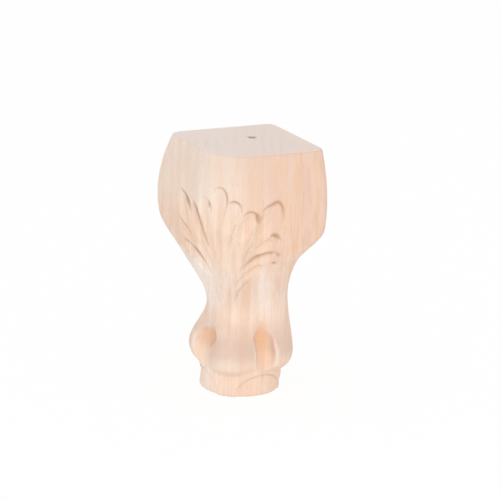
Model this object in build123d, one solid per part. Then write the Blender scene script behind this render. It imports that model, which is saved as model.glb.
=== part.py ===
from build123d import *
import math
import os

# A carved cabriole furniture leg, sawn and carved from one block of pale wood, in millimetres.
# It stands on z = 0 with the middle of its square top on the z axis. The knee, with its sunk leaf, is
# the corner at (-X, -Y): the show faces look along -X and -Y, and the plain back faces along +X and +Y.

# Top block
HEIGHT = 115.0
BLOCK_WIDTH = 52.0
BLOCK_KNEE_RADIUS = 19.0
BLOCK_SIDE_RADIUS = 5.0
BLOCK_BACK_RADIUS = 3.0

# Pilot hole in the top for the fixing screw
PILOT_DIAMETER = 4.0
PILOT_DEPTH = 30.0
PILOT_SET_BACK = 5.0

# Show faces: height of each landmark and how far the face stands out from the axis there. Above the
# toes, heights are shares of the leg's, so that a taller leg keeps its lines on the same foot.
KNEE_HEIGHT = 0.774 * HEIGHT
KNEE_REACH = 33.0
SHIN_HEIGHT = 0.509 * HEIGHT
SHIN_REACH = 22.6
SHIN_SLOPE = 0.61
ANKLE_HEIGHT = 0.304 * HEIGHT
ANKLE_REACH = 11.1
TOE_HEIGHT = 18.5
TOE_REACH = 19.0
KNEE_RADIUS = 20.0

# Back faces: the straight block ends in a bracket curve, then the calf runs down to the heel
BRACKET_TOP = 0.691 * HEIGHT
BRACKET_WAIST = 0.56 * HEIGHT
WAIST_BACK = 17.8
ANKLE_BACK = 24.4
TOE_BACK = 21.3

# Corners: round below the bracket and tighter at the toes, within a share of the face
SHANK_HEIGHT = 0.365 * HEIGHT
SHANK_RADIUS = 16.2
TOE_RADIUS = 9.4
CORNER_SHARE = 0.49

# Foot: a turned pad, with four claws that run down over it from the toes. The claw below the knee is
# the widest, so the arches of the show faces stand back from it.
PAD_RADIUS = 18.3
PAD_HEIGHT = 12.0
PAD_TAPER = 1.0
PAD_SET_BACK = 1.2
CLAW_THICKNESS = 1.1
ARCH_HEIGHT = 9.4
ARCH_HALF_SPAN = 12.2
ARCH_STAND_BACK = 2.0
BACK_ARCH_HALF_SPAN = 11.5
TOE_BOTTOM = 10.4
TOE_UNDERCUT = 6.0
TOE_TURN = 0.89

# Hollows between the toes, each gouged by eye: its shift round the foot, radius and depth, on the back
# faces first, then on the left and the right show face
HOLLOW_TOP = 27.0
HOLLOW_BOTTOM = 13.0
HOLLOW_POINT = 8.0
HOLLOWS = (
    (0.0, 7.0, 4.8),
    (0.0, 7.0, 4.8),
    (2.5, 9.0, 5.5),
    (0.3, 4.8, 4.4),
)

# Leaf: straight strokes of round-nosed gouges, placed on a plane that faces the knee. Each lobe is cut
# from its stem to its waist, then from there into its tip. Places are shares of the leaf's half width
# and height, from its foot, and a gouge's radius is a share of the half width.
LEAF_FOOT = 0.374 * HEIGHT
LEAF_HEIGHT = 0.522 * HEIGHT
LEAF_HALF_WIDTH = 25.0
STEM_DEPTH = -0.3
WAIST_DEPTH = 0.5
TIP_DEPTH = 1.4
CENTRE_LOBE = ((0.0, 0.35), (0.0, 0.68), (0.0, 0.93), 0.19)
SIDE_LOBES = (
    ((0.10, 0.30), (0.19, 0.65), (0.29, 0.85), 0.17),
    ((0.17, 0.24), (0.35, 0.59), (0.55, 0.775), 0.18),
    ((0.22, 0.20), (0.60, 0.55), (0.84, 0.815), 0.21),
    ((0.19, 0.24), (0.46, 0.455), (0.77, 0.555), 0.16),
    ((0.18, 0.19), (0.42, 0.37), (0.73, 0.44), 0.14),
    ((0.13, 0.13), (0.33, 0.25), (0.56, 0.335), 0.14),
)

DIAGONAL = math.sqrt(0.5)
TOWARDS_KNEE = Vector(-DIAGONAL, -DIAGONAL, 0)
ACROSS_KNEE = Vector(DIAGONAL, -DIAGONAL, 0)
KNEE_PLANE = Plane(origin=(0, 0, 0), x_dir=TOWARDS_KNEE, z_dir=ACROSS_KNEE)


def flowing(stations):
    """A smooth curve through (height, value, slope) stations, listed from the floor up."""
    def value(z):
        for low, high in zip(stations, stations[1:]):
            if z <= high[0] or high is stations[-1]:
                run = high[0] - low[0]
                t = min(max((z - low[0]) / run, 0.0), 1.0)
                ease = t * t * (3 - 2 * t)
                leave = run * low[2] * t * (1 - t) ** 2
                arrive = run * high[2] * t * t * (t - 1)
                return low[1] + (high[1] - low[1]) * ease + leave + arrive
    return value


# The faces are upright at the knee, ankle and toe, and the block rounds over to its top
half = BLOCK_WIDTH / 2
top_slope = -2 * (KNEE_REACH - half) / (HEIGHT - KNEE_HEIGHT)
show_face = flowing([
    (TOE_HEIGHT, TOE_REACH, 0),
    (ANKLE_HEIGHT, ANKLE_REACH, 0),
    (SHIN_HEIGHT, SHIN_REACH, SHIN_SLOPE),
    (KNEE_HEIGHT, KNEE_REACH, 0),
    (HEIGHT, half, top_slope),
])
back_face = flowing([
    (TOE_HEIGHT, TOE_BACK, 0),
    (ANKLE_HEIGHT, ANKLE_BACK, 0),
    (BRACKET_WAIST, WAIST_BACK, 0),
    (BRACKET_TOP, half, 0),
    (HEIGHT, half, 0),
])
knee_round = flowing([
    (TOE_HEIGHT, TOE_RADIUS, 0),
    (SHANK_HEIGHT, SHANK_RADIUS, 0),
    (KNEE_HEIGHT, KNEE_RADIUS, 0),
    (HEIGHT, BLOCK_KNEE_RADIUS, 0),
])
side_round = flowing([
    (TOE_HEIGHT, TOE_RADIUS, 0),
    (SHANK_HEIGHT, SHANK_RADIUS, 0),
    (BRACKET_TOP, BLOCK_SIDE_RADIUS, 0),
    (HEIGHT, BLOCK_SIDE_RADIUS, 0),
])
back_round = flowing([
    (TOE_HEIGHT, TOE_RADIUS, 0),
    (SHANK_HEIGHT, SHANK_RADIUS, 0),
    (BRACKET_TOP, BLOCK_BACK_RADIUS, 0),
    (HEIGHT, BLOCK_BACK_RADIUS, 0),
])


def undercut(z):
    """How far the underside of the toes has turned in at height z, as a quarter round."""
    drop = TOE_TURN * (TOE_HEIGHT - z) / (TOE_HEIGHT - TOE_BOTTOM)
    drop = min(max(drop, 0.0), 1.0)
    return TOE_UNDERCUT * (1 - math.sqrt(1 - drop * drop))


def section(z):
    """The leg's outline at height z: a square with its own radius on each kind of corner."""
    front = show_face(z) - undercut(z)
    back = back_face(z) - undercut(z)
    most = CORNER_SHARE * (front + back)
    knee, side, heel = (min(corner(z), most) for corner in (knee_round, side_round, back_round))
    outline = [
        Line((knee - front, -front), (back - side, -front)),
        CenterArc((back - side, side - front), side, -90, 90),
        Line((back, side - front), (back, back - heel)),
        CenterArc((back - heel, back - heel), heel, 0, 90),
        Line((back - heel, back), (side - front, back)),
        CenterArc((side - front, back - side), side, 90, 90),
        Line((-front, back - side), (-front, knee - front)),
        CenterArc((knee - front, knee - front), knee, 180, 90),
    ]
    return Pos(0, 0, z) * make_face(outline)


def leg_body():
    """The sawn and rounded leg, from the toes' underside to the top of the block."""
    landmarks = (TOE_BOTTOM, TOE_HEIGHT, ANKLE_HEIGHT, BRACKET_WAIST, BRACKET_TOP, HEIGHT)
    bands = (3, 7, 12, 8, 6)
    heights = [TOE_BOTTOM]
    for low, high, count in zip(landmarks, landmarks[1:], bands):
        heights += [low + (high - low) * (k + 1) / count for k in range(count)]
    return loft([section(z) for z in heights], ruled=True)


def turned_pad(radius):
    """A disc with its side turned to a slight taper."""
    return Cone(radius, radius - PAD_TAPER, PAD_HEIGHT, align=(Align.CENTER, Align.CENTER, Align.MIN))


def foot_pad():
    """The pad in the claws: each arch between two claws shows a panel of the pad."""
    show_arch = Pos(ARCH_STAND_BACK, 0) * Ellipse(ARCH_HALF_SPAN, ARCH_HEIGHT)
    back_arch = Ellipse(BACK_ARCH_HALF_SPAN, ARCH_HEIGHT)
    claws = turned_pad(PAD_RADIUS + CLAW_THICKNESS)
    for plane, show_way in ((Plane.XZ, 1), (Plane.YZ, -1)):
        claws -= extrude(plane * show_arch, show_way * 2 * PAD_RADIUS)
        claws -= extrude(plane * back_arch, -show_way * 2 * PAD_RADIUS)
    return Pos(PAD_SET_BACK, PAD_SET_BACK, 0) * (turned_pad(PAD_RADIUS) + claws)


def gouge_stroke(entry, stop, radius):
    """The sweep of a round-nosed gouge in a straight line, by the centre of its nose."""
    way = stop - entry
    sides = Cylinder(radius, way.length, align=(Align.CENTER, Align.CENTER, Align.MIN))
    return Plane(origin=entry, z_dir=way) * sides + Pos(*stop) * Sphere(radius)


def toe_hollow(face, shift, radius, depth):
    """The hollow between two toes, on the face whose number is given, +X first.

    The gouge comes up from under the toes, dives in and runs out to a point below the ankle.
    """
    top_middle = (back_face(HOLLOW_TOP) - show_face(HOLLOW_TOP)) / 2
    top_width = (back_face(HOLLOW_TOP) + show_face(HOLLOW_TOP)) / 2
    toe_width = (TOE_BACK + TOE_REACH) / 2
    entry = Vector(toe_width + radius, shift, HOLLOW_BOTTOM)
    way = Vector(top_width + radius - depth, shift, HOLLOW_TOP) - entry
    from_end = (Align.CENTER, Align.CENTER, Align.MIN)
    scoop = Cylinder(radius, way.length, align=from_end)
    scoop += Pos(0, 0, way.length) * Cone(radius, 0, HOLLOW_POINT, align=from_end)
    scoop = Plane(origin=entry, z_dir=way) * scoop
    return Pos(top_middle, top_middle, 0) * Rot(0, 0, 90 * face) * scoop


def on_knee(sideways, z):
    """The point of the uncarved knee that faces the given place on the leaf's drawing plane."""
    front, radius = show_face(z), knee_round(z)
    if abs(sideways) <= radius * DIAGONAL:
        depth = (front - radius) / DIAGONAL + math.sqrt(radius ** 2 - sideways ** 2)
    else:
        depth = front / DIAGONAL - abs(sideways)
    return TOWARDS_KNEE * depth + ACROSS_KNEE * sideways + Vector(0, 0, z)


def nose_centre(place, radius, depth):
    """Where a gouge's nose is centred to cut to the given depth at a place on the leaf."""
    side = place[0] * LEAF_HALF_WIDTH
    up = LEAF_FOOT + place[1] * LEAF_HEIGHT
    step = LEAF_HEIGHT / 5000
    sideways = on_knee(side + step, up) - on_knee(side - step, up)
    upwards = on_knee(side, up + step) - on_knee(side, up - step)
    return on_knee(side, up) + sideways.cross(upwards).normalized() * (radius - depth)


def leaf_lobe(stem, waist, tip, gouge):
    """One lobe of the leaf, in two strokes that follow the bend of the knee."""
    radius = gouge * LEAF_HALF_WIDTH
    at_stem = nose_centre(stem, radius, STEM_DEPTH)
    at_waist = nose_centre(waist, radius, WAIST_DEPTH)
    at_tip = nose_centre(tip, radius, TIP_DEPTH)
    return gouge_stroke(at_stem, at_waist, radius) + gouge_stroke(at_waist, at_tip, radius)


def carved_leg():
    """The whole leg: body and pad, then the foot's hollows, the leaf and the pilot hole."""
    leg = leg_body() + foot_pad()
    for face, hollow in enumerate(HOLLOWS):
        leg -= toe_hollow(face, *hollow)
    leg -= leaf_lobe(*CENTRE_LOBE)
    for lobe in SIDE_LOBES:
        cut = leaf_lobe(*lobe)
        leg -= cut
        leg -= mirror(cut, about=KNEE_PLANE)
    hole = Cylinder(PILOT_DIAMETER / 2, PILOT_DEPTH)
    return leg - Pos(PILOT_SET_BACK, PILOT_SET_BACK, HEIGHT - PILOT_DEPTH / 2) * hole


os.makedirs("parts", exist_ok=True)
export_step(carved_leg(), "parts/carved_leg.step")
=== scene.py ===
import math

import bmesh
import bpy
import numpy as np
from mathutils import Matrix, Vector
from mathutils.bvhtree import BVHTree


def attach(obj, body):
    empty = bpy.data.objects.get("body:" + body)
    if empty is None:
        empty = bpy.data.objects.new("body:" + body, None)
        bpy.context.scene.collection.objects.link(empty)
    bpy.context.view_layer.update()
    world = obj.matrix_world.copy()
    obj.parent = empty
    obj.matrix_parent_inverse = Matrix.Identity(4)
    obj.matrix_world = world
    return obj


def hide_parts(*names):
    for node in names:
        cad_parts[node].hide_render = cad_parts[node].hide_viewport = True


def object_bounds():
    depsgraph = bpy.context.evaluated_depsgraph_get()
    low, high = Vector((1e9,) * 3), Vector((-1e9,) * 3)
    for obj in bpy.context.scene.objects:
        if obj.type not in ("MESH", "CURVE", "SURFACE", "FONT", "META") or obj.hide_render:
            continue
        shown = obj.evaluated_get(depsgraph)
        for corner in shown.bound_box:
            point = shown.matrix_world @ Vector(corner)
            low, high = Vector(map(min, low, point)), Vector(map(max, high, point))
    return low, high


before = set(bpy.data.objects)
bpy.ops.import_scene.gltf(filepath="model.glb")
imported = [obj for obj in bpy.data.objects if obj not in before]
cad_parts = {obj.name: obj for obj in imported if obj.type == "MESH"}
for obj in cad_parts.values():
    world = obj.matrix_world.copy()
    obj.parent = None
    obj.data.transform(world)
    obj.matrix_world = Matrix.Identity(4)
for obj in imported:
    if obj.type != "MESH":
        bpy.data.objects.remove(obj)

cad_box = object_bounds()

# The leg is carved from one block of pale hardwood with the grain running up it, sanded and left raw.
# The carver's tools leave the sunk leaf on the knee, the hollows between the toes and the arches of
# the foot; sandpaper then rounds every edge a little, and the last fine cuts are made with a V tool.
MM = 0.001
TOWARDS_KNEE = np.array((-math.sqrt(0.5), -math.sqrt(0.5), 0))
ACROSS_KNEE = np.array((math.sqrt(0.5), -math.sqrt(0.5), 0))

# The leg's sizes are in millimetres. Its skin is of small faces, finer in a band along each cut. The
# sandpaper goes over it a few times, and fewer times at the top edge and on the foot, which stay crisp.
MESH_PITCH = 0.70
FINE_BAND = 1.2
SANDPAPER_BITE = 0.5
SANDING_PASSES = 5
CRISP_PASSES = 3
CRISP_TOP, CRISP_TOP_FADE = 112.5, 0.5
CRISP_FOOT, CRISP_FOOT_FADE = 15.0, 3.0

# Each cut of the V tool runs through places on the knee, sideways from its middle and up from the
# floor. It swells to a half width and a depth at some share of its run, then dies away again.
CUT_SWELL = 0.6
CUT_NARROWEST = 0.35
LEAF_CUTS = (
    # The tip of the middle lobe
    (1.30, 0.82, 0.40, (
        (-2.9, 98.4), (-2.6, 100.2), (-1.4, 101.7), (0.3, 102.3), (2.3, 101.2), (3.8, 98.4),
        (4.0, 95.3), (3.2, 91.0), (2.4, 86.0),
    )),
    # The lobes on its right, from the top down
    (1.25, 0.88, 0.40, ((3.6, 94.4), (5.0, 95.9), (6.8, 96.4), (8.6, 95.8), (10.0, 94.2), (11.0, 90.4))),
    (0.90, 0.45, 0.30, ((11.0, 90.6), (9.2, 88.0), (7.3, 85.4), (6.2, 81.8), (4.5, 76.6), (2.8, 70.2))),
    (1.40, 0.95, 0.65, (
        (10.8, 89.4), (11.8, 90.9), (13.2, 91.6), (14.8, 91.2), (16.2, 90.0), (16.8, 87.0),
    )),
    (0.80, 0.30, 0.30, ((16.5, 88.5), (15.0, 83.4), (12.6, 78.0), (9.4, 72.6), (6.6, 67.6))),
    (1.30, 0.98, 0.35, (
        (16.9, 90.8), (18.8, 92.8), (20.7, 93.8), (22.8, 95.3), (24.5, 93.4), (25.1, 90.0), (24.9, 84.5),
    )),
    (0.90, 0.35, 0.20, ((21.8, 80.0), (18.2, 79.2), (14.1, 75.8), (10.0, 71.1), (6.2, 65.7))),
    (1.70, 0.95, 0.50, (
        (22.6, 67.4), (22.6, 70.0), (21.2, 71.0), (18.2, 70.8), (15.0, 69.8), (12.2, 67.8), (9.8, 65.3),
        (7.4, 61.8),
    )),
    (1.10, 0.44, 0.60, ((18.6, 65.6), (13.3, 64.0), (9.5, 60.9), (6.0, 57.0), (2.8, 52.4), (0.6, 47.5))),
    (1.20, 0.56, 0.72, ((15.6, 62.4), (10.6, 57.4), (6.7, 53.4), (3.1, 48.4), (0.8, 43.4), (0.2, 39.5))),
    # The lobes on its left, from the top down
    (1.20, 0.75, 0.60, ((-8.4, 96.6), (-6.4, 97.0), (-4.6, 96.2), (-3.3, 93.9), (-2.7, 90.4))),
    (1.90, 1.20, 0.16, (
        (-13.6, 94.8), (-11.0, 90.8), (-8.6, 86.2), (-6.9, 81.6), (-5.6, 76.6), (-4.2, 70.4),
    )),
    (1.70, 1.30, 0.55, ((-23.4, 97.2), (-21.0, 95.8), (-18.0, 94.0), (-15.8, 91.6), (-14.6, 88.2))),
    (0.80, 0.35, 0.30, ((-14.8, 89.4), (-13.8, 83.4), (-11.6, 78.0), (-8.9, 72.6), (-6.4, 67.4))),
    (1.10, 0.75, 0.30, (
        (-24.4, 87.6), (-22.4, 83.2), (-19.2, 80.6), (-16.5, 78.2), (-13.9, 75.2), (-10.4, 71.0),
    )),
    (1.80, 1.30, 0.22, (
        (-21.4, 73.6), (-17.8, 71.8), (-14.4, 69.8), (-11.5, 66.9), (-9.0, 63.6), (-7.0, 60.0),
        (-5.6, 57.0),
    )),
    (0.90, 0.35, 0.40, ((-18.0, 65.8), (-13.3, 64.0), (-9.5, 60.9), (-6.0, 57.0), (-2.8, 53.1))),
    (0.90, 0.35, 0.50, ((-15.6, 62.4), (-10.6, 57.4), (-6.7, 53.4), (-3.1, 48.4), (-1.0, 44.0))),
)
# Deep touches where two lobes part
LEAF_EYES = (
    (2.0, 1.20, 0.35, ((14.2, 90.9), (15.9, 89.8), (16.9, 85.8))),
    (1.8, 1.10, 0.45, ((20.2, 78.8), (22.0, 80.0), (24.4, 77.0))),
    (1.5, 1.00, 0.50, ((19.4, 66.1), (21.2, 64.7))),
    (1.2, 0.80, 0.45, ((21.4, 71.2), (22.3, 69.8), (22.1, 67.8))),
    (1.4, 1.10, 0.50, ((-5.2, 96.4), (-3.0, 92.8))),
    (1.3, 0.70, 0.50, ((-19.2, 66.0), (-20.8, 65.0))),
)
# Thin veins, scratched along the middle of the lobes with the corner of the tool
FINE_VEIN = (0.60, 0.20, 0.30)
LONG_VEIN = (0.60, 0.22, 0.30)
LEAF_VEINS = (
    (*FINE_VEIN, ((0.3, 97.0), (0.2, 88.0), (0.1, 78.0), (0.0, 66.0))),
    (*FINE_VEIN, ((7.0, 93.0), (5.6, 86.0), (4.2, 78.0), (2.6, 68.0))),
    (*FINE_VEIN, ((13.2, 88.0), (10.4, 82.0), (7.8, 75.5), (5.0, 67.5))),
    (*LONG_VEIN, ((21.4, 91.0), (18.4, 84.0), (14.6, 77.8), (9.8, 70.8))),
    (*FINE_VEIN, ((19.0, 76.4), (14.6, 74.0), (10.6, 70.0), (6.6, 64.6))),
    (*FINE_VEIN, ((17.2, 69.0), (13.0, 67.6), (9.2, 63.6), (5.4, 58.6))),
    (*FINE_VEIN, ((-7.0, 93.0), (-5.6, 86.0), (-4.2, 78.0), (-2.6, 68.0))),
    (*FINE_VEIN, ((-12.4, 88.0), (-9.9, 82.0), (-7.6, 75.5), (-5.0, 67.5))),
    (*LONG_VEIN, ((-20.4, 91.0), (-17.9, 84.0), (-14.3, 77.8), (-9.8, 70.8))),
    (*FINE_VEIN, ((-18.6, 77.0), (-14.6, 74.0), (-10.6, 70.0), (-6.6, 64.6))),
)

# The tapered pad under the toes. At its sides and back the thin tips of the claws are sanded down into
# it; the wide claw below the knee, this far to each side of the knee's middle, stays proud.
PAD_AXIS, PAD_RADIUS, PAD_SLOPE = 1.2, 18.3, 1.0 / 12.0
TIP_FLUSH, TIP_FULL = 2.5, 6.0
KNEE_CLAW_HALF = math.radians(60)
# The arches over the pad are set in with the V tool on each face of the foot: the cut, then the half
# span, the height and the middle of the arch on the show faces and on the back faces
ARCH_CUT = (1.5, 0.50, 0.25)
ARCH_POINTS = 49
ARCH_SHOW = (12.2, 9.4, PAD_AXIS + 2.0)
ARCH_BACK = (11.5, 9.4, PAD_AXIS)
# The lip of the toes under the right hollow
TOE_LIP = (1.3, 0.40, 0.5, ((-1.0, 11.4), (2.0, 10.9), (5.0, 10.7), (8.0, 10.8), (12.0, 11.5)))
# The tool cuts only where the wood faces it by a least share, and between certain heights
LEAF_FACING, LEAF_LOWEST, LEAF_HIGHEST = 0.1, 40.0, 106.0
ARCH_FACING, ARCH_HIGHEST = 0.45, 12.0
LIP_FACING, LIP_HIGHEST = 0.2, 16.0
# The screw hole: its place along both edges of the top, how far its wall and the rim round it reach,
# a height just below its floor, and how deep its mouth stays pale
PILOT_AT, PILOT_WALL, PILOT_RIM = 5.0, 2.05, 2.7
PILOT_FLOOR, PILOT_MOUTH = 80.0, 0.3


def flowing_line(places, steps=8):
    """Points along a smooth line through the given places."""
    p = np.array(places, float)
    p = np.vstack((2 * p[0] - p[1], p, 2 * p[-1] - p[-2]))
    t = np.linspace(0, 1, steps, endpoint=False)[:, None]
    runs = []
    for a, b, c, d in zip(p, p[1:], p[2:], p[3:]):
        bend = (2 * a - 5 * b + 4 * c - d) * t ** 2 + (3 * b - a - 3 * c + d) * t ** 3
        runs.append(0.5 * (2 * b + (c - a) * t + bend))
    return np.vstack(runs + [p[-2:-1]])


def near_line(places, line):
    """How far each place lies from a line, and what share of the line's length is behind it."""
    runs = np.linalg.norm(np.diff(line, axis=0), axis=1)
    behind = np.concatenate(([0], np.cumsum(runs)))
    best = np.full(len(places), np.inf)
    share = np.zeros(len(places))
    for k, (a, b) in enumerate(zip(line, line[1:])):
        along = np.clip((places - a) @ (b - a) / runs[k] ** 2, 0, 1)
        gap = np.linalg.norm(places - a - along[:, None] * (b - a), axis=1)
        nearer = gap < best
        best[nearer] = gap[nearer]
        share[nearer] = (behind[k] + along * runs[k])[nearer] / behind[-1]
    return best, share


def drawn(cuts):
    """The cuts with the places of each drawn out to a smooth line."""
    return [(width, depth, fullest, flowing_line(places)) for width, depth, fullest, places in cuts]


def arch_line(half_span, rise, middle):
    """Half an ellipse that springs from the floor."""
    turn = np.linspace(0, math.pi, ARCH_POINTS)
    return np.stack((middle + half_span * np.cos(turn), rise * np.sin(turn)), axis=1)


def on_leaf(points):
    """Where points lie on the plane that faces the knee, in millimetres sideways and up."""
    return np.stack((points @ ACROSS_KNEE, points[:, 2]), axis=1) / MM


def on_face(points, across):
    """Where points lie on a face of the foot, in millimetres sideways from the axis and up."""
    return points[:, (across, 2)] / MM


def cuts_by_place(points, normals):
    """For the knee, then for each face of the foot: which points lie on it, where, and its cuts."""
    height = points[:, 2] / MM
    on_knee = (normals @ TOWARDS_KNEE > LEAF_FACING) & (height > LEAF_LOWEST) & (height < LEAF_HIGHEST)
    yield on_knee, on_leaf(points[on_knee]), drawn(LEAF_CUTS + LEAF_EYES + LEAF_VEINS)
    for across, outward in ((0, 1), (1, 0)):
        for side, arch in ((-1, ARCH_SHOW), (1, ARCH_BACK)):
            on_arch = (side * normals[:, outward] > ARCH_FACING) & (height < ARCH_HIGHEST)
            yield on_arch, on_face(points[on_arch], across), [(*ARCH_CUT, arch_line(*arch))]
    under_toes = (-normals[:, 1] > LIP_FACING) & (height < LIP_HIGHEST)
    yield under_toes, on_face(points[under_toes], 0), drawn([TOE_LIP])


def from_screw(points):
    """How far points lie from the middle of the screw hole, in millimetres, above its floor."""
    gap = np.hypot(points[:, 0] / MM - PILOT_AT, points[:, 1] / MM - PILOT_AT)
    return np.where(points[:, 2] > PILOT_FLOOR * MM, gap, np.inf)


def points_of(mesh, what="co"):
    """Every vertex's position, or its normal, as rows of three."""
    values = np.zeros(len(mesh.vertices) * 3, np.float32)
    mesh.vertices.foreach_get(what, values)
    return values.reshape(-1, 3).astype(float)


def move_points(mesh, points):
    """Every vertex put at its place in the given rows of three."""
    mesh.vertices.foreach_set("co", points.astype(np.float32).ravel())
    mesh.update()


def edges_of(mesh):
    """The two ends of every edge."""
    ends = np.zeros(len(mesh.edges) * 2, np.int32)
    mesh.edges.foreach_get("vertices", ends)
    return ends.reshape(-1, 2)


def sanded(points, edges, passes):
    """Points moved towards the middle of their neighbours, as sandpaper does."""
    count = np.bincount(edges.ravel(), minlength=len(points))[:, None]
    for _ in range(passes):
        total = np.zeros_like(points)
        for axis in range(3):
            total[:, axis] = (
                np.bincount(edges[:, 0], points[edges[:, 1], axis], len(points))
                + np.bincount(edges[:, 1], points[edges[:, 0], axis], len(points))
            )
        points = points + SANDPAPER_BITE * (total / count - points)
    return points


# An even skin of small faces over the turned and gouged solid
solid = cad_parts["carved_leg"].data
leg = bpy.data.objects.new("leg_wood", solid.copy())
bpy.context.scene.collection.objects.link(leg)
skin = leg.modifiers.new("even skin", "REMESH")
skin.mode = "VOXEL"
skin.voxel_size = MESH_PITCH * MM
bpy.context.view_layer.update()
even = bpy.data.meshes.new_from_object(leg.evaluated_get(bpy.context.evaluated_depsgraph_get()))
leg.modifiers.clear()
leg.data = even

# Finer faces along the cuts and round the mouth of the screw hole
points = points_of(even)
close = from_screw(points) < PILOT_RIM
for here, places, cuts in cuts_by_place(points, points_of(even, "normal")):
    for width, depth, fullest, line in cuts:
        close[here] |= near_line(places, line)[0] < max(FINE_BAND, width)
shape = bmesh.new()
shape.from_mesh(even)
fine_edges = [e for e in shape.edges if close[e.verts[0].index] and close[e.verts[1].index]]
bmesh.ops.subdivide_edges(shape, edges=fine_edges, cuts=1, use_grid_fill=True)
shape.to_mesh(even)
shape.free()

# Back onto the solid, with the tips of the claws sunk into the pad
surface = BVHTree.FromPolygons([v.co for v in solid.vertices], [p.vertices for p in solid.polygons])
points = np.array([surface.find_nearest(Vector(p))[0] for p in points_of(even)])
height = points[:, 2] / MM
from_pad = points[:, :2] / MM - PAD_AXIS
reach = np.linalg.norm(from_pad, axis=1)
proud = np.clip(reach - (PAD_RADIUS - PAD_SLOPE * height), 0, None) * (height < TIP_FULL)
sunk = proud * (1 - np.clip((height - TIP_FLUSH) / (TIP_FULL - TIP_FLUSH), 0, 1))
sunk *= from_pad @ TOWARDS_KNEE[:2] < math.cos(KNEE_CLAW_HALF) * reach
points[:, :2] -= MM * from_pad * (sunk / np.maximum(reach, 1))[:, None]

# The sanding, which spares the top edge, the foot and the screw hole
edges = edges_of(even)
smooth = sanded(points, edges, SANDING_PASSES)
crisp = sanded(points, edges, CRISP_PASSES)
spared = np.clip((height - CRISP_TOP) / CRISP_TOP_FADE, 0, 1)
spared += np.clip((CRISP_FOOT - height) / CRISP_FOOT_FADE, 0, 1)
spared = spared[:, None]
in_screw = (from_screw(points) < PILOT_RIM)[:, None]
points = np.where(in_screw, points, spared * crisp + (1 - spared) * smooth)
move_points(even, points)

# The V tool's cuts, which run out to nothing at their ends
normals = points_of(even, "normal")
cut = np.zeros(len(points))
for here, places, cuts in cuts_by_place(points, normals):
    for width, depth, fullest, line in cuts:
        gap, share = near_line(places, line)
        swell = np.minimum(share / fullest, (1 - share) / (1 - fullest)) ** CUT_SWELL
        opening = width * (CUT_NARROWEST + (1 - CUT_NARROWEST) * swell)
        wall = np.clip(1 - gap / opening, 0, 1)
        cut[here] = np.maximum(cut[here], depth * swell * wall)
points = np.clip(points - normals * cut[:, None] * MM, np.array(cad_box[0]), np.array(cad_box[1]))
move_points(even, points)

# How sheltered each place is: hollows get a painted warm shade, standing in for light thrown between
# their walls, and the proud edges of the foot and shin get a painted highlight, paler than the rest
SHELTER_PASSES = 56
SHELTER_DEPTH = 1.3
EDGE_HIGHLIGHT_HEIGHT = 0.9
EDGE_HIGHLIGHT_LOWEST, EDGE_HIGHLIGHT_HIGHEST = 2.0, 60.0
filled = sanded(points, edges, SHELTER_PASSES)
hollowness = ((filled - points) * points_of(even, "normal")).sum(1)
shelter = np.clip(hollowness / (SHELTER_DEPTH * MM), 0, 1)
# A painted highlight on the proud edges, between two heights on the foot and shin
edge_highlight = np.clip(-hollowness / (EDGE_HIGHLIGHT_HEIGHT * MM), 0, 1)
edge_highlight *= (points[:, 2] > EDGE_HIGHLIGHT_LOWEST * MM) & (points[:, 2] < EDGE_HIGHLIGHT_HIGHEST * MM)

# Painted brown and orange shade in the hollows between the toes: the axis that each faces and its side,
# then the middle and half size of each patch, sideways and up, and how brown and how orange it is
TOE_HOLLOW_SHADE = (
    (0, -1, (3.5, 6.5), (23.0, 5.5), 1.00, 0.35),
    (0, -1, (6.0, 7.5), (16.0, 5.0), 0.00, 0.75),
    (1, -1, (4.8, 3.6), (26.0, 7.5), 1.00, 1.00),
    (1, -1, (5.0, 3.8), (17.0, 6.5), 0.15, 0.85),
    (0, 1, (4.0, 7.0), (26.0, 8.0), 0.80, 0.80),
    (1, 1, (4.0, 7.0), (26.0, 8.0), 0.80, 0.80),
)
SHADE_PATCH_SPREAD = 1.25
SHADE_PATCH_OUTSIDE = 4.0
toe_brown_shade = np.zeros(len(points))
toe_orange_shade = np.zeros(len(points))
for facing, side, (middle, half_width), (up, half_height), brown, orange in TOE_HOLLOW_SHADE:
    across = (points[:, 1 - facing] / MM - middle) / half_width
    along = (points[:, 2] / MM - up) / half_height
    outside = side * points[:, facing] > SHADE_PATCH_OUTSIDE * MM
    shade_patch = outside * np.clip(SHADE_PATCH_SPREAD - across ** 2 - along ** 2, 0, 1)
    toe_brown_shade = np.maximum(toe_brown_shade, brown * shade_patch)
    toe_orange_shade = np.maximum(toe_orange_shade, orange * shade_patch)
bore = (from_screw(points) < PILOT_WALL) & (points[:, 2] < cad_box[1][2] - PILOT_MOUTH * MM)
shelter[bore] = 0
marks = {"shelter": shelter, "edge_highlight": edge_highlight, "cut": cut, "toe_brown_shade": toe_brown_shade, "toe_orange_shade": toe_orange_shade, "bore": bore}
for name, values in marks.items():
    attribute = even.attributes.new(name, "FLOAT", "POINT")
    attribute.data.foreach_set("value", values.astype(np.float32))
even.polygons.foreach_set("use_smooth", np.ones(len(even.polygons), bool))

# Raw wood: growth rings and fibres that run up the leg, short pores, greyer end grain on top
wood = bpy.data.materials.new("raw_wood")
wood.use_nodes = True
wood_nodes, wood_links = wood.node_tree.nodes, wood.node_tree.links
shader = wood_nodes["Principled BSDF"]
MIX_SHARE, MIX_BASE, MIX_ADDED, MIX_RESULT = 0, 6, 7, 2


def node(kind, **settings):
    """A new node of the wood, with its sockets' values by name and its own settings."""
    made = wood_nodes.new("ShaderNode" + kind)
    for name, value in settings.items():
        if name in made.inputs:
            made.inputs[name].default_value = value
        else:
            setattr(made, name, value)
    return made


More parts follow.
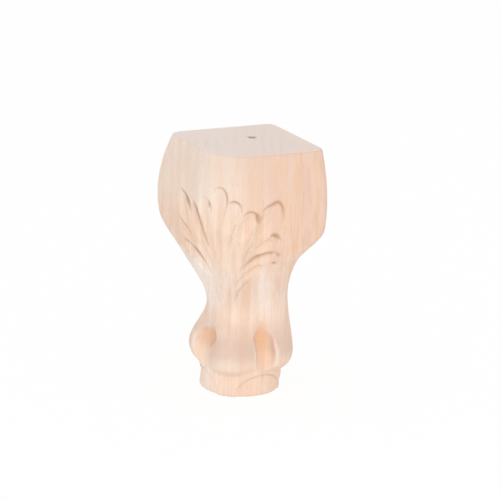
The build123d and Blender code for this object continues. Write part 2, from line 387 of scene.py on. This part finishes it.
def maths(operation, *values):
    """The result of a Math node on sockets or numbers."""
    made = node("Math", operation=operation)
    for socket, value in zip(made.inputs, values):
        if isinstance(value, (int, float)):
            socket.default_value = value
        else:
            wood_links.new(value, socket)
    return made.outputs[0]


def times(first, second):
    """One mask or number times another."""
    return maths("MULTIPLY", first, second)


def plus(first, second):
    """One mask or number added to another."""
    return maths("ADD", first, second)


def minus(first, second):
    """One mask or number less another."""
    return maths("SUBTRACT", first, second)


def between(value, low, high):
    """0 below low, 1 above high and smooth between."""
    made = node("MapRange", interpolation_type="SMOOTHSTEP")
    made.inputs["From Min"].default_value = low
    made.inputs["From Max"].default_value = high
    wood_links.new(value, made.inputs["Value"])
    return made.outputs["Result"]


def past(distance, start, full):
    """0 before one distance along the leg or across it, 1 past another, in millimetres."""
    return between(distance, start * MM, full * MM)


def height_band(start, full, fade, gone):
    """1 between two heights on the leg, fading to 0 below and above."""
    return minus(past(upward, start, full), past(upward, fade, gone))


def split(vector):
    """The three parts of a vector."""
    made = node("SeparateXYZ")
    wood_links.new(vector, made.inputs[0])
    return made.outputs


def mark(name):
    """What was marked on the leg's skin under a name."""
    return node("Attribute", attribute_name=name).outputs["Fac"]


def noise(scale, detail, roughness):
    """Noise about 0.5, as fine as given across the rings, along them and up the leg."""
    stretch = node("Mapping", Scale=scale)
    wood_links.new(board.outputs["Vector"], stretch.inputs["Vector"])
    made = node("TexNoise", Scale=1.0, Detail=detail, Roughness=roughness)
    wood_links.new(stretch.outputs["Vector"], made.inputs["Vector"])
    return made.outputs["Fac"]


def grain(scale, detail, roughness, shows):
    """One layer of the grain, from 0 to 1 over the stretch of the noise that shows."""
    return between(noise(scale, detail, roughness), *shows)


def tinted(base, colour, where, most=1.0):
    """base with another colour mixed in where a mask says, up to a share of most."""
    made = node("Mix", data_type="RGBA")
    wood_links.new(times(where, most), made.inputs[MIX_SHARE])
    if isinstance(base, tuple):
        made.inputs[MIX_BASE].default_value = base
    else:
        wood_links.new(base, made.inputs[MIX_BASE])
    made.inputs[MIX_ADDED].default_value = colour
    return made.outputs[MIX_RESULT]


# The block was sawn with its growth rings at a slant to its faces. Each layer of the grain has its
# fineness across the rings, along them and up the leg, in waves to the metre, then the noise's detail
# and roughness, and the stretch of the noise that shows.
RING_TURN = math.radians(-27)
RING_WIDTH = 4.2
RING_WANDER = 3.0
RING_DRIFT = ((20, 14, 5), 2.0, 0.5)
RING_PATCHES = ((60, 30, 9), 2.0, 0.5, (0.35, 0.75))
LATE_WOOD_SHARPNESS = 2.0
BROAD_GRAIN = ((75, 30, 4), 3.0, 0.5, (0.40, 0.66))
STREAK_GRAIN = ((400, 60, 6), 4.0, 0.6, (0.46, 0.58))
FIBRE_GRAIN = ((900, 160, 12), 3.0, 0.6, (0.45, 0.60))
PORE_GRAIN = ((2600, 2600, 150), 1.0, 0.5, (0.62, 0.74))
MOTTLE_GRAIN = ((130, 60, 22), 3.0, 0.6, (0.50, 0.62))
place = node("TexCoord").outputs["Object"]
upward = split(place)["Z"]
board = node("Mapping", vector_type="TEXTURE", Rotation=(0, 0, RING_TURN))
wood_links.new(place, board.inputs["Vector"])
rightward = split(board.outputs["Vector"])["X"]
backward = split(board.outputs["Vector"])["Y"]
rings = plus(maths("DIVIDE", rightward, RING_WIDTH * MM), times(noise(*RING_DRIFT), RING_WANDER))
ring = plus(times(maths("SINE", times(rings, 2 * math.pi)), 0.5), 0.5)
late_wood = times(maths("POWER", ring, LATE_WOOD_SHARPNESS), grain(*RING_PATCHES))
broad = grain(*BROAD_GRAIN)
streak = grain(*STREAK_GRAIN)
fibre = grain(*FIBRE_GRAIN)
pore = grain(*PORE_GRAIN)

# The ground is pale on the left and at the foot, and creamier towards the right and up
PALE = (0.95, 0.795, 0.680, 1)
CREAM = (0.90, 0.705, 0.560, 1)
CREAM_UP, CREAM_RIGHT = (40, 100), (-34, -6)
off_left = past(rightward, *CREAM_RIGHT)
colour = tinted(PALE, CREAM, past(upward, *CREAM_UP), off_left)

# Heartwood is orange: on the right above the shin, and a little in the pad
ORANGE = (0.87, 0.590, 0.410, 1)
HEART_RIGHT, HEART_UP, HEART_SHARE = (2, 28), (45, 85), 0.50
PAD_HEART_RIGHT, PAD_HEART_GONE, PAD_HEART_SHARE = (-18, 0), (8, 20), 0.40
heartwood = times(past(rightward, *HEART_RIGHT), past(upward, *HEART_UP))
colour = tinted(colour, ORANGE, heartwood, HEART_SHARE)
pad_heart = minus(past(rightward, *PAD_HEART_RIGHT), past(upward, *PAD_HEART_GONE))
colour = tinted(colour, ORANGE, maths("MAXIMUM", pad_heart, 0.0), PAD_HEART_SHARE)

# The block is duller towards its top, and paler and greyer there on the left
DULL = (0.76, 0.575, 0.475, 1)
DULL_UP, DULL_LEAST, DULL_SHARE = (80, 108), 0.5, 0.36
PALE_GREY = (0.885, 0.775, 0.680, 1)
PALE_GREY_GONE, PALE_GREY_UP = (-16, 4), (80, 98)
PALE_GREY_UNDER, PALE_GREY_OVER = 0.50, 0.40
dulled = times(past(upward, *DULL_UP), plus(off_left, DULL_LEAST))
colour = tinted(colour, DULL, dulled, DULL_SHARE)
pale_grey_left = times(minus(1.0, past(rightward, *PALE_GREY_GONE)), past(upward, *PALE_GREY_UP))
colour = tinted(colour, PALE_GREY, pale_grey_left, PALE_GREY_UNDER)

# The leaf and the ankle have an amber tone
AMBER = (0.90, 0.620, 0.400, 1)
LEAF_AMBER, LEAF_AMBER_SHARE = (55, 68, 88, 98), 0.18
ANKLE_AMBER, ANKLE_AMBER_SHARE = (26, 32, 36, 44), 0.12
leaf_amber = times(height_band(*LEAF_AMBER), LEAF_AMBER_SHARE)
ankle_amber = times(height_band(*ANKLE_AMBER), ANKLE_AMBER_SHARE)
colour = tinted(colour, AMBER, plus(leaf_amber, ankle_amber))

# A painted highlight, nearly white: down the left of the shin, and in a narrower band on its right. It
# lies half under the grain and half over it, and is weaker behind.
SHIN_HIGHLIGHT_COLOUR = (0.98, 0.900, 0.830, 1)
SHIN_HIGHLIGHT_LEFT_GONE = (-16, -4)
SHIN_HIGHLIGHT_RIGHT, SHIN_HIGHLIGHT_RIGHT_GONE, SHIN_HIGHLIGHT_RIGHT_SHARE = (3, 9), (11, 15), 0.60
SHIN_HIGHLIGHT_BAND = (31, 43, 54, 72)
SHIN_HIGHLIGHT_BEHIND, SHIN_HIGHLIGHT_BEHIND_LOSS = (-4, 12), 0.7
SHIN_HIGHLIGHT_UNDER, SHIN_HIGHLIGHT_OVER = 0.60, 0.58
highlight_left = minus(1.0, past(rightward, *SHIN_HIGHLIGHT_LEFT_GONE))
highlight_right = minus(past(rightward, *SHIN_HIGHLIGHT_RIGHT), past(rightward, *SHIN_HIGHLIGHT_RIGHT_GONE))
shin_highlight = times(plus(highlight_left, times(highlight_right, SHIN_HIGHLIGHT_RIGHT_SHARE)), height_band(*SHIN_HIGHLIGHT_BAND))
shin_highlight = times(shin_highlight, minus(1.0, times(past(backward, *SHIN_HIGHLIGHT_BEHIND), SHIN_HIGHLIGHT_BEHIND_LOSS)))
colour = tinted(colour, SHIN_HIGHLIGHT_COLOUR, shin_highlight, SHIN_HIGHLIGHT_UNDER)

# The grain itself, bolder up the leg and boldest in the heartwood, whose streaks fade near the top
PINK = (0.84, 0.600, 0.490, 1)
TAN = (0.84, 0.550, 0.360, 1)
MOTTLE = (0.74, 0.500, 0.390, 1)
PORE = (0.64, 0.410, 0.265, 1)
BROAD_SHARE, BROAD_SHIN_HIGHLIGHT_LOSS = 0.35, 0.22
LATE_WOOD_SHARE = 0.30
BOLD_LEAST, BOLD_GAIN, BOLD_UP = 0.20, 0.24, (15, 50)
HEART_STREAK, HEART_STREAK_LOSS, HEART_STREAK_FADE = 0.75, 0.40, (85, 105)
HEART_FIBRE = 0.80
MOTTLE_SHARE = 0.50
PORE_SHARE = 0.35
colour = tinted(colour, PINK, broad, minus(BROAD_SHARE, times(shin_highlight, BROAD_SHIN_HIGHLIGHT_LOSS)))
colour = tinted(colour, TAN, late_wood, LATE_WOOD_SHARE)
bold = plus(times(past(upward, *BOLD_UP), BOLD_GAIN), BOLD_LEAST)
heart_streak = minus(HEART_STREAK, times(past(upward, *HEART_STREAK_FADE), HEART_STREAK_LOSS))
colour = tinted(colour, TAN, streak, plus(times(heartwood, heart_streak), bold))
colour = tinted(colour, PINK, fibre, plus(times(heartwood, HEART_FIBRE), bold))
colour = tinted(colour, MOTTLE, times(grain(*MOTTLE_GRAIN), heartwood), MOTTLE_SHARE)
colour = tinted(colour, PORE, pore, PORE_SHARE)
colour = tinted(colour, PALE_GREY, pale_grey_left, PALE_GREY_OVER)
# The painted highlight on the shin again, over the grain
colour = tinted(colour, SHIN_HIGHLIGHT_COLOUR, shin_highlight, SHIN_HIGHLIGHT_OVER)

# The toes have a duller mauve tone, in patches, but not in their hollows
MAUVE = (0.70, 0.495, 0.395, 1)
TOE_BAND = (14, 21, 22, 38)
TOE_PATCHES = ((55, 55, 30), 2.0, 0.5, (0.18, 0.56))
TOE_SHARE = 0.74
orange_shaded = mark("toe_orange_shade")
toes = times(times(height_band(*TOE_BAND), grain(*TOE_PATCHES)), minus(1.0, orange_shaded))
colour = tinted(colour, MAUVE, toes, TOE_SHARE)

# End grain on the sawn top
END_GRAIN = (0.96, 0.835, 0.770, 1)
END_RINGS = (0.84, 0.690, 0.620, 1)
SAWN_FACING = (0.85, 0.97)
END_SHARE, END_RING_SHARE = 0.80, 0.55
sawn_end = between(split(node("NewGeometry").outputs["Normal"])["Z"], *SAWN_FACING)
colour = tinted(colour, END_GRAIN, sawn_end, END_SHARE)
colour = tinted(colour, END_RINGS, late_wood, times(sawn_end, END_RING_SHARE))

# Painted shade in the hollows, the cuts and the screw hole, and a painted highlight on the proud edges
BROWN_SHADE = (0.76, 0.460, 0.285, 1)
ORANGE_SHADE = (0.88, 0.500, 0.250, 1)
CUT_SHADE_COLOUR = (0.52, 0.310, 0.185, 1)
BORE_SHADE_COLOUR = (0.30, 0.200, 0.140, 1)
EDGE_HIGHLIGHT_COLOUR = (0.97, 0.870, 0.790, 1)
BROWN_SHADE_SHARE, ORANGE_SHADE_SHARE = 0.55, 0.22
HOLLOW_SHADE_SHOWS, HOLLOW_SHADE_LEAST, HOLLOW_SHADE_SHARE = (0.05, 0.90), 0.25, 0.50
CUT_SHADE_SHOWS, CUT_SHADE_SHARE = (0.05, 1.0), 0.84
BORE_SHADE_SHARE = 0.12
EDGE_HIGHLIGHT_SHOWS, EDGE_HIGHLIGHT_SHARE = (0.60, 1.0), 0.45
# Painted shade in the hollows: brown and orange patches between the toes, and orange shade where the skin
# is sheltered
hollow_shade = times(between(mark("shelter"), *HOLLOW_SHADE_SHOWS), plus(orange_shaded, HOLLOW_SHADE_LEAST))
colour = tinted(colour, BROWN_SHADE, mark("toe_brown_shade"), BROWN_SHADE_SHARE)
colour = tinted(colour, ORANGE_SHADE, orange_shaded, ORANGE_SHADE_SHARE)
colour = tinted(colour, ORANGE_SHADE, hollow_shade, HOLLOW_SHADE_SHARE)
# Painted shade in the V tool's cuts, darker where a cut is deeper
colour = tinted(colour, CUT_SHADE_COLOUR, between(mark("cut"), *CUT_SHADE_SHOWS), CUT_SHADE_SHARE)
# Painted shade inside the screw hole, below its pale mouth
colour = tinted(colour, BORE_SHADE_COLOUR, mark("bore"), BORE_SHADE_SHARE)
# The painted highlight on the proud edges
colour = tinted(colour, EDGE_HIGHLIGHT_COLOUR, between(mark("edge_highlight"), *EDGE_HIGHLIGHT_SHOWS), EDGE_HIGHLIGHT_SHARE)
wood_links.new(colour, shader.inputs["Base Color"])

# A dry, matt surface, on which pores and fibres lie low, late wood stands up and the sawn end is smoother
ROUGHNESS, FIBRE_ROUGHNESS = 0.55, 0.10
SHEEN_LEVEL = 0.30
FIBRE_RELIEF, RING_RELIEF, SAWN_LOSS = -0.35, 0.3, 0.8
GRAIN_DEPTH, GRAIN_STRENGTH = 0.12, 0.35
wood_links.new(plus(times(fibre, FIBRE_ROUGHNESS), ROUGHNESS), shader.inputs["Roughness"])
shader.inputs["Specular IOR Level"].default_value = SHEEN_LEVEL
relief = minus(plus(times(fibre, FIBRE_RELIEF), times(late_wood, RING_RELIEF)), pore)
relief = times(relief, minus(1.0, times(sawn_end, SAWN_LOSS)))
bump = node("Bump", Strength=GRAIN_STRENGTH, Distance=GRAIN_DEPTH * MM)
wood_links.new(relief, bump.inputs["Height"])
wood_links.new(bump.outputs["Normal"], shader.inputs["Normal"])
even.materials.clear()
even.materials.append(wood)
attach(leg, "root")
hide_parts("carved_leg")

# The floor is a plain pale sheet of studio paper, laid flat and wide enough to fill the view.
# It is white to the camera, apart from the soft shadow under the leg. Its sizes are in metres.
FLOOR_REACH = 4.0
FLOOR_WHITE = (0.90, 0.90, 0.90, 1)
FLOOR_ROUGHNESS = 0.95
SHADOW_SHARE = 0.15
PAPER_WHITE = 1.04


def in_view(nodes, links):
    """1 for what the camera sees, also in a gloss or through glass, and 0 for light on the leg."""
    ray = nodes.new("ShaderNodeLightPath")
    seen = ray.outputs["Is Camera Ray"]
    for kind in ("Is Glossy Ray", "Is Transmission Ray"):
        either = nodes.new("ShaderNodeMath")
        either.operation = "MAXIMUM"
        links.new(seen, either.inputs[0])
        links.new(ray.outputs[kind], either.inputs[1])
        seen = either.outputs[0]
    return seen


sheet = bmesh.new()
bmesh.ops.create_grid(sheet, x_segments=8, y_segments=8, size=FLOOR_REACH)
floor_mesh = bpy.data.meshes.new("floor")
sheet.to_mesh(floor_mesh)
sheet.free()
floor = bpy.data.objects.new("floor", floor_mesh)
bpy.context.scene.collection.objects.link(floor)
paper = bpy.data.materials.new("studio_paper")
paper.use_nodes = True
paper_nodes, paper_links = paper.node_tree.nodes, paper.node_tree.links
matt = paper_nodes["Principled BSDF"]
matt.inputs["Base Color"].default_value = FLOOR_WHITE
matt.inputs["Roughness"].default_value = FLOOR_ROUGHNESS
matt.inputs["Specular IOR Level"].default_value = 0.0
white = paper_nodes.new("ShaderNodeEmission")
white.inputs["Strength"].default_value = PAPER_WHITE
white_share = paper_nodes.new("ShaderNodeMath")
white_share.operation = "MULTIPLY"
white_share.inputs[1].default_value = 1 - SHADOW_SHARE
paper_links.new(in_view(paper_nodes, paper_links), white_share.inputs[0])
mixed = paper_nodes.new("ShaderNodeMixShader")
paper_links.new(white_share.outputs[0], mixed.inputs[0])
paper_links.new(matt.outputs[0], mixed.inputs[1])
paper_links.new(white.outputs[0], mixed.inputs[2])
paper_links.new(mixed.outputs[0], paper_nodes["Material Output"].inputs["Surface"])
floor_mesh.materials.append(paper)

# The light is a white room, brighter at its walls than overhead, with one soft lamp in front of the leg.
# The room shows white to the camera and lights the leg at a plain level. Its sizes are in metres.
WALL_LEVEL = 1.12
CEILING_LEVEL = 0.64
ROOM_WHITE = 1.0
LAMP_POWER = 4.1
LAMP_SIZE = 0.4
LAMP_PLACE = Vector((-0.55, -1.20, 0.22))
LEG_MIDDLE = Vector((0, 0, cad_box[1][2] / 2))

world = bpy.data.worlds.new("white_room")
bpy.context.scene.world = world
world.use_nodes = True
room_nodes, room_links = world.node_tree.nodes, world.node_tree.links
room = room_nodes["Background"]
room.inputs["Color"].default_value = (1, 1, 1, 1)
way = room_nodes.new("ShaderNodeTexCoord")
way_up = room_nodes.new("ShaderNodeSeparateXYZ")
room_links.new(way.outputs["Generated"], way_up.inputs[0])
level = room_nodes.new("ShaderNodeMapRange")
level.inputs["To Min"].default_value = WALL_LEVEL
level.inputs["To Max"].default_value = CEILING_LEVEL
room_links.new(way_up.outputs["Z"], level.inputs["Value"])
shown = room_nodes.new("ShaderNodeMapRange")
room_links.new(level.outputs["Result"], shown.inputs["To Min"])
shown.inputs["To Max"].default_value = ROOM_WHITE
room_links.new(in_view(room_nodes, room_links), shown.inputs["Value"])
room_links.new(shown.outputs["Result"], room.inputs["Strength"])
lamp_data = bpy.data.lights.new("soft_lamp", "AREA")
lamp_data.shape = "SQUARE"
lamp_data.size = LAMP_SIZE
lamp_data.energy = LAMP_POWER
lamp = bpy.data.objects.new("soft_lamp", lamp_data)
lamp.location = LAMP_PLACE
lamp.rotation_mode = "QUATERNION"
lamp.rotation_quaternion = (LEG_MIDDLE - LAMP_PLACE).to_track_quat("-Z", "Y")
bpy.context.scene.collection.objects.link(lamp)

# The camera looks down on the knee from a little to its right, through a long lens. It leans by two
# degrees and aims a little to the right of the leg's middle and above it. Its sizes are in metres.
AZIMUTH, ELEVATION, ROLL = math.radians(-27), math.radians(17.22), math.radians(2.12)
DISTANCE = 1.0
LENS_MM, SENSOR_MM = 159.6, 36
AIM_RIGHT, AIM_UP = 0.00343, 0.0065

back = Vector((
    math.sin(AZIMUTH) * math.cos(ELEVATION),
    -math.cos(AZIMUTH) * math.cos(ELEVATION),
    math.sin(ELEVATION),
))
level_right = Vector((math.cos(AZIMUTH), math.sin(AZIMUTH), 0))
level_up = back.cross(level_right)
right = level_right * math.cos(ROLL) + level_up * math.sin(ROLL)
up = level_up * math.cos(ROLL) - level_right * math.sin(ROLL)
eye = LEG_MIDDLE + back * DISTANCE
look_back = (eye - LEG_MIDDLE - right * AIM_RIGHT - up * AIM_UP).normalized()
right = up.cross(look_back).normalized()
up = look_back.cross(right)
camera_data = bpy.data.cameras.new("camera")
camera_data.lens = LENS_MM
camera_data.sensor_width = SENSOR_MM
camera = bpy.data.objects.new("camera", camera_data)
camera.matrix_world = Matrix.Translation(eye) @ Matrix((right, up, look_back)).transposed().to_4x4()
bpy.context.scene.collection.objects.link(camera)
bpy.context.scene.camera = camera
bpy.context.scene.view_settings.view_transform = "Standard"
